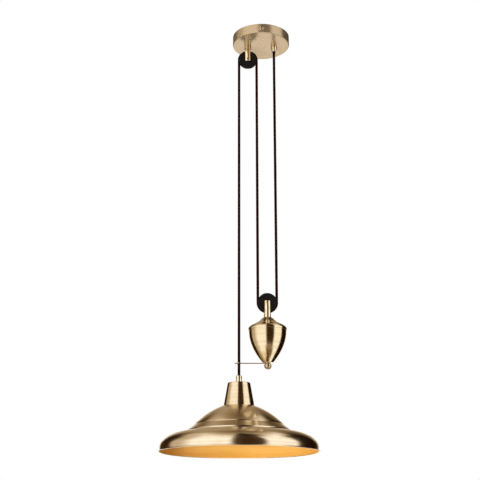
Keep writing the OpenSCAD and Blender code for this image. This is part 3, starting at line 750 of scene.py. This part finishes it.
@dataclass
class CeilingRose:
    """The spun rose on its ceiling strap, with the terminal block and the three cores inside."""

    gland_x: float = GLAND_X
    tail_top: float = -16.8
    core_d: float = 2.2
    core_out: float = 1.35
    core_rise: float = 3.2
    pole: Vector = Vector((9.0, 5.5, -6.5))
    earth_foot: Vector = Vector((3.3, -54.0, -3.9))

    def build(self) -> None:
        """Makes the cores."""
        for name, route, finish in (("core_line", self.pole_route(-1), CORE_BROWN),
                ("core_neutral", self.pole_route(1), CORE_BLUE),
                ("core_earth", self.earth_route(), CORE_EARTH)):
            mesh = sweep(name, [p * MM for p in smoothed(route)], self.core_d / 2 * MM, CORE_SIDES)
            new_piece(name, mesh, finish, Body.ROOT, "rose_cores")

    def pole_route(self, side: int) -> list[Vector]:
        """Lists the points of a core from the flex to its terminal.

        Args:
            side: -1 for the line core and 1 for the neutral core.

        Returns:
            Its route's points in millimetres.
        """
        start = Vector((self.gland_x, 0, self.tail_top))
        out = start + Vector((-self.core_out, side * self.core_out, 0))
        entry = Vector((self.pole.x, side * self.pole.y, self.pole.z))
        middle = (start + entry) / 2 + Vector((0, side * 1.5, (self.pole.z - self.tail_top) / 2))
        return [out, out + Vector((0, 0, 1)), out + Vector((0, 0, self.core_rise)),
            Vector((self.gland_x - 7, side * 2.6, self.pole.z - 1.2)), middle,
            entry + Vector((5, 0, 0)), entry, entry - Vector((4, 0, 0))]

    def earth_route(self) -> list[Vector]:
        """Lists the points of the earth core from the flex to the strap, in millimetres."""
        out = Vector((self.gland_x + self.core_out, 0, self.tail_top))
        clamp = self.earth_foot
        return [out, out + Vector((0, 0, 1)), out + Vector((0, 0, self.core_rise)),
            Vector((self.gland_x - 1, -9, clamp.z - 1.5)), Vector((self.gland_x - 14, -28, clamp.z)),
            clamp + Vector((3, 12, 0)), clamp + Vector((0, 3, 0)), clamp + Vector((0, -2.5, 0))]

    def dress(self) -> None:
        """Gives the rose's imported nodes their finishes."""
        dress(SPUN_ROSE, "rose_cover")
        dress(TONED_BAR, "rose_screws", "rose_washers")
        dress(BAR, "terminal_barrels", "earth_terminal")
        dress(ZINC, "ceiling_bracket", "terminal_screws", "yoke_washer", "yoke_screw")
        dress(WHITE_NYLON, "terminal_block")


@dataclass
class Gland:
    """The turned cord gland that holds the flex under the rose."""

    x: float = GLAND_X
    seat: float = -25.5
    length: float = 17.5
    radius: float = 8.25
    end_r: float = 5.75
    thread_r: float = 5.0
    bore_r: float = 3.7
    insert_r: float = 4.7
    shank: float = 7.0
    insert_in: float = 8.0
    seat_edge: float = 0.6
    end_edge: float = 0.5
    straight: float = 3.5
    waist_at: float = 0.62
    waist_out: float = 0.45
    edge_r: float = 0.3
    sides: int = 96

    def section(self) -> list[Vector]:
        """Lists the body's outline, from the shank down the taper to the insert's pocket."""
        end = self.seat - self.length
        waist = self.end_r + (self.radius - self.end_r) * self.waist_out
        shank = ((self.bore_r, self.seat + self.shank), (self.thread_r, self.seat + self.shank),
            (self.thread_r, self.seat))
        taper = ((self.radius - self.seat_edge, self.seat), (self.radius, self.seat - self.seat_edge),
            (self.radius, self.seat - self.straight), (waist, self.seat - self.length * self.waist_at),
            (self.end_r, end + self.end_edge), (self.end_r - self.end_edge, end))
        pocket = ((self.insert_r, end), (self.insert_r, end + self.insert_in),
            (self.bore_r, end + self.insert_in))
        return [Vector(p) for p in shank] + smoothed([Vector(p) for p in taper]) + [Vector(p) for p in pocket]

    def build(self) -> None:
        """Turns the gland's body."""
        mesh = turned("turned_gland", softened(self.section(), self.edge_r), (self.x, 0, 0), sides=self.sides)
        new_piece("turned_gland", mesh, BAR, Body.ROOT, "gland_body")

    def dress(self) -> None:
        """Gives the gland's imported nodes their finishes."""
        dress(NYLON, "gland_insert")
        dress(BAR, "gland_nut")


# ---- Pulleys ----


@dataclass
class Pulley:
    """A grooved black wheel on a bush, in a slotted brass yoke that is open to view."""

    name: str
    body: Body
    x: float
    axle_z: float
    turn_r: float = TURN_R
    groove_r: float = 3.8
    flange_past: float = 0.8
    half_t: float = 4.5
    half_web: float = 3.0
    bush_r: float = 3.5
    hub_r: float = 6.5
    rim_in: float = 17.7
    slope: float = 1.0
    edge_r: float = 0.5
    groove_steps: int = 28
    sides: int = 144

    def section(self) -> list[Vector]:
        """Lists the wheel's outline: hub, web, rim and the flex's round groove."""
        edge = self.turn_r + self.flange_past
        open_at = math.degrees(math.acos(self.flange_past / self.groove_r))
        side = [Vector(p) for p in ((self.bush_r, self.half_t), (self.hub_r, self.half_t),
            (self.hub_r + self.slope, self.half_web), (self.rim_in - self.slope, self.half_web),
            (self.rim_in, self.half_t), (edge, self.half_t))]
        groove = arc(Vector((self.turn_r, 0)), self.groove_r, open_at, 360 - open_at, self.groove_steps)
        return side + groove + [Vector((p.x, -p.y)) for p in reversed(side)]

    def build(self) -> None:
        """Turns the wheel."""
        name = f"grooved_{self.name}_wheel"
        mesh = turned(name, softened(self.section(), self.edge_r), (self.x, 0, self.axle_z), Axis.ACROSS,
            self.sides)
        new_piece(name, mesh, NYLON, self.body, f"{self.name}_wheel")

    def dress(self) -> None:
        """Gives the yoke, the axle and the bush their finishes."""
        dress(BAR, f"{self.name}_yoke", f"{self.name}_bush")
        dress(TONED_BAR, f"{self.name}_axle")


# ---- Counterweight ----


@dataclass
class Counterweight:
    """A bullet-shaped brass skin over an iron core, with a flared cap, a ball and the guide arm."""

    x: float = WEIGHT_X
    width: float = 98.0
    base: float = -796.5
    top: float = -792.0
    cap_h: float = 34.0
    cap_skirt: float = 4.0
    cap_wall: float = 1.2
    cup_r: float = 9.1
    boss_r: float = 12.0
    bore_r: float = 3.2
    body_h: float = 81.6
    body_blunt: float = 14.4
    body_wall: float = 1.5
    body_steps: int = 64
    gap: float = 0.3
    ball_d: float = 18.4
    ball_z: float = -915.4
    ball_flat_z: float = -910.4
    ball_steps: int = 40
    rod_r: float = 3.0
    rod_past: float = 3.0
    ogee_steps: int = 10
    ogee: tuple[Span, ...] = ((0, 0), (0.11, 0.11), (0.25, 0.285), (0.43, 0.46), (0.69, 0.64),
        (0.885, 0.79), (0.98, 0.93), (1, 1))

    def cap(self) -> list[Vector]:
        """Lists the cap's outline: the yoke's cup, the ogee out to the skirt, and the sheet's far face."""
        half = self.width / 2
        rim = self.top - self.cap_h
        lip = self.cup_r + self.cap_wall
        fall = self.cap_h - self.cap_skirt
        flare = [Vector((lip + (half - lip) * r, self.top - fall * z)) for r, z in self.ogee]
        outer = smoothed(flare, self.ogee_steps) + [Vector((half, rim))]
        floor = self.base - self.cap_wall
        under = [p for p in beside(outer, self.cap_wall) if p.y < floor and p.x > self.boss_r]
        cup = [Vector(p) for p in ((self.bore_r, self.base), (self.cup_r, self.base), (self.cup_r, self.top))]
        return (cup + outer + [Vector((half - self.cap_wall, rim))] + under[::-1]
            + [Vector((under[0].x, floor)), Vector((self.bore_r, floor))])

    def bullet(self) -> list[Vector]:
        """Lists the body's outline: a parabola from the cap's skirt to the tip, and its far face."""
        rim = self.top - self.cap_h
        radius = self.width / 2 - self.cap_wall - self.gap
        whole = self.body_h + self.body_blunt
        depths = [self.body_h * i / self.body_steps for i in range(self.body_steps + 1)]
        outer = [Vector((radius, rim + self.cap_skirt - self.gap))]
        outer += [Vector((radius * (1 - (t / whole) ** 2), rim - t)) for t in depths]
        floor = rim - self.body_h + self.body_wall
        inner = [p for p in beside(outer, self.body_wall) if p.y > floor]
        return (outer + [Vector((self.bore_r, rim - self.body_h)), Vector((self.bore_r, floor)),
            Vector((inner[-1].x, floor))] + inner[::-1])

    def ball(self) -> list[Vector]:
        """Lists the finial's outline: a ball cut flat under the arm's eye, and bored for the tie rod."""
        radius = self.ball_d / 2
        flat = math.degrees(math.asin((self.ball_flat_z - self.ball_z) / radius))
        rod_end = self.ball_z - self.rod_past
        return (arc(Vector((0, self.ball_z)), radius, -90, flat, self.ball_steps)
            + [Vector((self.rod_r, self.ball_flat_z)), Vector((self.rod_r, rod_end)), Vector((0, rod_end))])

    def build(self) -> None:
        """Spins the cap and the body, and turns the ball."""
        for name, section, edge_r, finish, node in (
                ("spun_cap", self.cap(), 0.5, SPUN_WEIGHT, "weight_cap"),
                ("spun_bullet", self.bullet(), 0.4, SPUN_WEIGHT, "weight_body"),
                ("turned_ball", self.ball(), 0.3, TONED_BAR, "ball_finial")):
            mesh = turned(name, softened(section, edge_r), (self.x, 0, 0))
            new_piece(name, mesh, finish, Body.COUNTERWEIGHT, node)

    def dress(self) -> None:
        """Gives the weight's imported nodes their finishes."""
        dress(IRON, "weight_core")
        dress(ZINC, "tie_rod")
        dress(TONED_BAR, "guide_arm")


# ---- Lamp ----


@dataclass
class LampHolder:
    """The cord grip, the gallery cup and the lampholder that hangs in it."""

    x: float = LAMP_X
    cup_top: float = -958.0
    cup_top_r: float = 28.5
    cup_foot_r: float = 38.4
    shade_top: float = -1014.5
    cup_wall: float = 1.0
    cup_edge: float = 1.6
    cup_slope: float = 8.0
    edge_r: float = 0.3
    thread_r: float = 5.0
    core_d: float = 2.2
    core_route: tuple[Point, ...] = ((1.35, 0, -969.7), (1.35, 0, -971.7), (3.35, 1.4, -975.4),
        (6.5, 2.8, -980.4), (9, 2.8, -981.1), (11, 2.8, -981.1))

    def cup(self) -> list[Vector]:
        """Lists the cup's outline: flat top, small round edge and straight flared side."""
        hub = Vector((self.cup_top_r - self.cup_edge, self.cup_top - self.cup_edge))
        outer = arc(hub, self.cup_edge, 90, self.cup_slope)
        inner = arc(hub, self.cup_edge - self.cup_wall, self.cup_slope, 90)
        foot = [Vector((self.cup_foot_r, self.shade_top)),
            Vector((self.cup_foot_r - self.cup_wall, self.shade_top))]
        return ([Vector((self.thread_r, self.cup_top))] + outer + foot + inner
            + [Vector((self.thread_r, self.cup_top - self.cup_wall))])

    def build(self) -> None:
        """Spins the cup and makes the two cores."""
        mesh = turned("spun_gallery_cup", softened(self.cup(), self.edge_r), (self.x, 0, 0))
        new_piece("spun_gallery_cup", mesh, SPUN_CUP, Body.LAMP, "gallery_cup")
        for side, finish, name in ((-1, CORE_BROWN, "holder_core_line"),
                (1, CORE_BLUE, "holder_core_neutral")):
            path = smoothed([Vector((self.x + side * x, y, z)) * MM for x, y, z in self.core_route])
            mesh = sweep(name, path, self.core_d / 2 * MM, CORE_SIDES)
            new_piece(name, mesh, finish, Body.LAMP, "holder_cores")

    def dress(self) -> None:
        """Gives the holder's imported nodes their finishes."""
        dress(BAR, "lamp_grip", "grip_screw", "holder_terminals", "centre_contact", "screw_shell")
        dress(ZINC, "hollow_nipple", "nipple_nut", "insulator_screws")
        dress(PHENOLIC, "holder_cap", "holder_body", "shade_ring")
        dress(STEATITE, "holder_insulator")


@dataclass
class Shade:
    """The spun shade: bowed crown, a step and a bead, a deep shoulder and a turned-out lip."""

    x: float = LAMP_X
    rim_z: float = -1127.0
    width: float = 400.0
    height: float = 112.5
    wall: float = 0.8
    hole_r: float = 19.7
    neck_r: float = 38.4
    crown_rise: float = 4.5
    step_r: float = 107.5
    step_z: float = 69.5
    step_h: float = 4.0
    step_drop: float = 1.0
    step_out: tuple[float, float, float] = (0.9, 1.8, 3.0)
    band_w: float = 20.0
    bead_z: float = 47.5
    bead_h: float = 4.5
    bead_mid: float = 0.9
    bead_out: float = 2.5
    bend_steps: int = 4
    shoulder_from: float = 88.5
    shoulder_turn: float = 1.5
    shoulder_steps: int = 60
    skirt: float = 10.0
    lip_w: float = 5.5
    lip_r: float = 3.0
    edge_r: float = 0.7
    sides: int = 272

    def outside(self) -> list[Vector]:
        """Lists the outer face from the holder's hole to the lip, with heights above the rim."""
        bead_r = self.step_r + self.band_w
        rim_r = self.width / 2 - self.lip_w
        across = rim_r - bead_r - self.bead_out
        deep = self.bead_z - self.skirt
        drops = (self.step_drop, self.step_h / 2, self.step_h)
        step = [Vector((self.step_r + out, self.step_z - drop)) for out, drop in zip(self.step_out, drops)]
        bead = [Vector(p) for p in ((bead_r, self.bead_z + self.bead_h),
            (bead_r + self.bead_mid, self.bead_z + self.bead_h / 2), (bead_r + self.bead_out, self.bead_z))]
        angles = [math.radians(self.shoulder_from - self.shoulder_turn * i)
            for i in range(self.shoulder_steps)]
        shoulder = [Vector((bead_r + self.bead_out + across * math.cos(a), self.skirt + deep * math.sin(a)))
            for a in angles]
        lip = arc(Vector((rim_r + self.lip_r, self.lip_r + self.wall)), self.lip_r, 180, 270)
        return ([Vector((self.hole_r, self.height))]
            + bow(Vector((self.neck_r, self.height)), Vector((self.step_r, self.step_z)), self.crown_rise)
            + smoothed(step, self.bend_steps) + smoothed(bead, self.bend_steps) + shoulder + lip
            + [Vector((self.width / 2, self.wall))])

    def build(self) -> None:
        """Spins the shade, with the gold lacquer on its inner face."""
        outer = self.outside()
        section = softened(outer + beside(outer, self.wall)[::-1], self.edge_r)
        mesh = turned("spun_shade", section, (self.x, 0, self.rim_z), sides=self.sides)
        piece = new_piece("spun_shade", mesh, SPUN_SHADE, Body.LAMP, "shade")
        mesh.materials.append(SPUN_INSIDE.material())
        axis = Vector((self.x * MM, 0, 0))
        lacquered_r = (self.width / 2 - self.lip_w) * MM
        for face in mesh.polygons:
            out = face.center - axis
            out.z = 0
            if out.length < lacquered_r and face.normal.dot(out.normalized()) + face.normal.z < 0:
                face.material_index = 1
        log.info("lacquered the inside of %s", piece.name)


# ---- Camera, light and floor ----


@dataclass(frozen=True)
class Flag:
    """A black panel that stands in the studio and leaves a dark patch in the metal.

    Angles are degrees: azimuth from the front, positive to the right, and height above the horizon.
    """

    azimuth: float
    half_width: float
    low: float
    high: float
    depth: float
    side_softness: float = 4.0
    end_softness: float = 8.0


@dataclass(frozen=True)
class Softbox:
    """A square lamp that metal doesn't mirror, in metres and watts."""

    name: str
    place: Point
    aim: Point
    size: float
    power: float

    def build(self) -> None:
        """Hangs the lamp and points it."""
        lamp = bpy.data.lights.new(self.name, "AREA")
        lamp.shape = "SQUARE"
        lamp.size = self.size
        lamp.energy = self.power
        holder = placed(self.name, lamp)
        holder.visible_glossy = False
        holder.visible_camera = False
        way = Vector(self.aim) - Vector(self.place)
        facing = way.to_track_quat("-Z", "Y").to_matrix().to_4x4()
        holder.matrix_world = Matrix.Translation(self.place) @ facing


@dataclass
class Studio:
    """A white backdrop all round with black flags before it, soft lamps and a pale floor."""

    floor_z: float = -2.4
    floor_size: float = 14.0
    floor_colour: str = "#f2f1ef"
    floor_roughness: float = 0.9
    floor_lift: float = 0.55
    glow: float = 1.16
    zenith: float = 0.35
    zenith_span: Span = (50, 80)
    plain: float = 0.2
    warmth: Span = (1.22, 1.6)
    flags: tuple[Flag, ...] = (
        Flag(15, 25, -38, 96, 0.965),
        Flag(28, 37, 58, 96, 0.85, 10),
        Flag(15, 38, -62, -40, 0.86, 8, 8),
        Flag(124, 30, -75, 54, 0.99),
        Flag(-136, 21, -75, 45, 0.97, 6),
        Flag(-105, 24, -75, 60, 0.5, 16),
        Flag(158, 10, -75, 50, 0.5, 6),
        Flag(187, 41, 20, 96, 0.66, 10, 8),
        Flag(148, 30, 62, 96, 0.4, 12, 12),
    )
    softboxes: tuple[Softbox, ...] = (
        Softbox("left_softbox", (-1.2, -1.7, -2.0), (0, 0, -1.0), 0.9, 52),
        Softbox("right_softbox", (2.4, -0.6, 0.0), (0, 0, -0.7), 1.2, 5),
        Softbox("top_softbox", (0, -0.3, 1.6), (0, 0, -0.7), 1.6, 14),
    )

    def build(self) -> None:
        """Sets the world, the lamps and the floor."""
        self.world()
        for softbox in self.softboxes:
            softbox.build()
        self.floor()

    def world(self) -> None:
        """Lights the scene: plain white for the camera, flags for metal and an even light for the rest.

        The flags and the room behind them are brown, so the less light there is, the warmer it gets.
        """
        world = bpy.data.worlds.new("studio_backdrop")
        bpy.context.scene.world = world
        world.use_nodes = True
        tree = world.node_tree
        looked = add_node(tree, "TexCoord").outputs["Generated"]
        way = add_node(tree, "VectorMath", (looked,), operation="NORMALIZE")
        flat = add_node(tree, "VectorMath", (way, (1, 1, 0)), operation="MULTIPLY")
        level = add_node(tree, "VectorMath", (flat,), operation="NORMALIZE")
        rise = add_node(tree, "SeparateXYZ", (way,)).outputs[2]
        height = add_node(tree, "Math", (rise,), operation="ARCSINE")
        zenith = [math.radians(angle) for angle in self.zenith_span]
        light = add_node(tree, "MapRange", (height, *zenith, 1.0, self.zenith),
            interpolation_type="SMOOTHSTEP")
        for flag in self.flags:
            light = self.shaded(tree, light, level, height, flag)
        green, blue = (add_node(tree, "Math", (light, power), operation="POWER") for power in self.warmth)
        warm = add_node(tree, "CombineColor", (light, green, blue))
        paths = add_node(tree, "LightPath")
        seen, spread = paths.outputs["Is Camera Ray"], paths.outputs["Is Diffuse Ray"]
        even = add_node(tree, "Math", (seen, spread), operation="MAXIMUM")
        colour = add_node(tree, "Mix", {ColourMix.FACTOR: even, ColourMix.A: warm,
            ColourMix.B: (1, 1, 1, 1)}, data_type="RGBA")
        unseen = add_node(tree, "Mix", {PlainMix.FACTOR: spread, PlainMix.A: self.glow,
            PlainMix.B: self.plain}, data_type="FLOAT")
        strength = add_node(tree, "Mix", {PlainMix.FACTOR: seen, PlainMix.A: unseen, PlainMix.B: 1.0},
            data_type="FLOAT")
        feed(tree.nodes["Background"], (colour.outputs[ColourMix.RESULT], strength))

    def shaded(self, tree: NodeTree, light: Node, level: Node, height: Node, flag: Flag) -> Node:
        """Puts one flag before the backdrop.

        Args:
            tree: the world's nodes.
            light: the brightness so far.
            level: the direction looked in, flattened to the horizon.
            height: its angle above the horizon.
            flag: the flag.

        Returns:
            The brightness with the flag in place.
        """
        a = math.radians(flag.azimuth)
        facing = add_node(tree, "VectorMath", (level, (math.sin(a), -math.cos(a), 0)),
            operation="DOT_PRODUCT").outputs["Value"]
        angle = add_node(tree, "Math", (facing,), operation="ARCCOSINE")
        cover = flag.depth
        for value, edge, soft, inward in ((angle, flag.half_width, flag.side_softness, 1),
                (height, flag.high, flag.end_softness, 1), (height, flag.low, flag.end_softness, -1)):
            near, far = math.radians(edge - inward * soft), math.radians(edge + inward * soft)
            within = add_node(tree, "MapRange", (value, near, far, 1.0, 0.0),
                interpolation_type="SMOOTHSTEP")
            cover = add_node(tree, "Math", (within, cover), operation="MULTIPLY")
        left = add_node(tree, "Math", (1.0, cover), operation="SUBTRACT")
        return add_node(tree, "Math", (light, left), operation="MULTIPLY")

    def floor(self) -> None:
        """Lays the pale floor, which keeps the pendant's shadow. Metal looks past it to the backdrop."""
        work = bmesh.new()
        bmesh.ops.create_grid(work, x_segments=8, y_segments=8, size=self.floor_size / 2)
        mesh = bpy.data.meshes.new("studio_floor")
        work.to_mesh(mesh)
        work.free()
        mesh.transform(Matrix.Translation((0, 0, self.floor_z)))
        floor = placed("studio_floor", mesh)
        paint = bpy.data.materials.new("matt_white_floor_paint")
        paint.use_nodes = True
        tree = paint.node_tree
        shader = tree.nodes["Principled BSDF"]
        paths = add_node(tree, "LightPath").outputs
        lift = add_node(tree, "Math", (paths["Is Camera Ray"], self.floor_lift), operation="MULTIPLY")
        feed(shader, {"Base Color": linear(self.floor_colour), "Roughness": self.floor_roughness,
            "Emission Strength": lift})
        past = add_node(tree, "Math", (paths["Is Glossy Ray"], paths["Is Transmission Ray"]),
            operation="MAXIMUM")
        both = add_node(tree, "MixShader", (past, shader, add_node(tree, "BsdfTransparent")))
        feed(tree.nodes["Material Output"], {"Surface": both})
        mesh.materials.append(paint)


@dataclass(frozen=True)
class Camera:
    """The photograph's viewpoint: low in front of the pendant, looking up."""

    place: Point = (-0.058, -2.386, -1.323)
    pitch: float = 17.15
    lens_mm: float = 72.15
    sensor_mm: float = 36.0
    sight: float = 100.0

    def build(self) -> None:
        """Makes the camera and hands it to the scene."""
        data = bpy.data.cameras.new("camera")
        data.lens = self.lens_mm
        data.sensor_width = self.sensor_mm
        data.clip_end = self.sight
        holder = placed("camera", data)
        turn = Matrix.Rotation(math.radians(90 + self.pitch), 4, "X")
        holder.matrix_world = Matrix.Translation(self.place) @ turn
        bpy.context.scene.camera = holder


def main() -> None:
    """Builds the pendant's looks in order."""
    logging.basicConfig(level=logging.INFO, format="%(name)s: %(message)s")
    bpy.context.scene.view_settings.view_transform = "Standard"
    Camera().build()
    Studio().build()
    Flex().build()
    for part in (CeilingRose(), Gland(),
            Pulley("upper", Body.UPPER_PULLEY, UPPER_WHEEL_X, UPPER_AXLE_Z),
            Pulley("lower", Body.LOWER_PULLEY, WEIGHT_X, LOWER_AXLE_Z), Counterweight(), LampHolder()):
        part.build()
        part.dress()
    Shade().build()


if __name__ == "__main__":
    main()
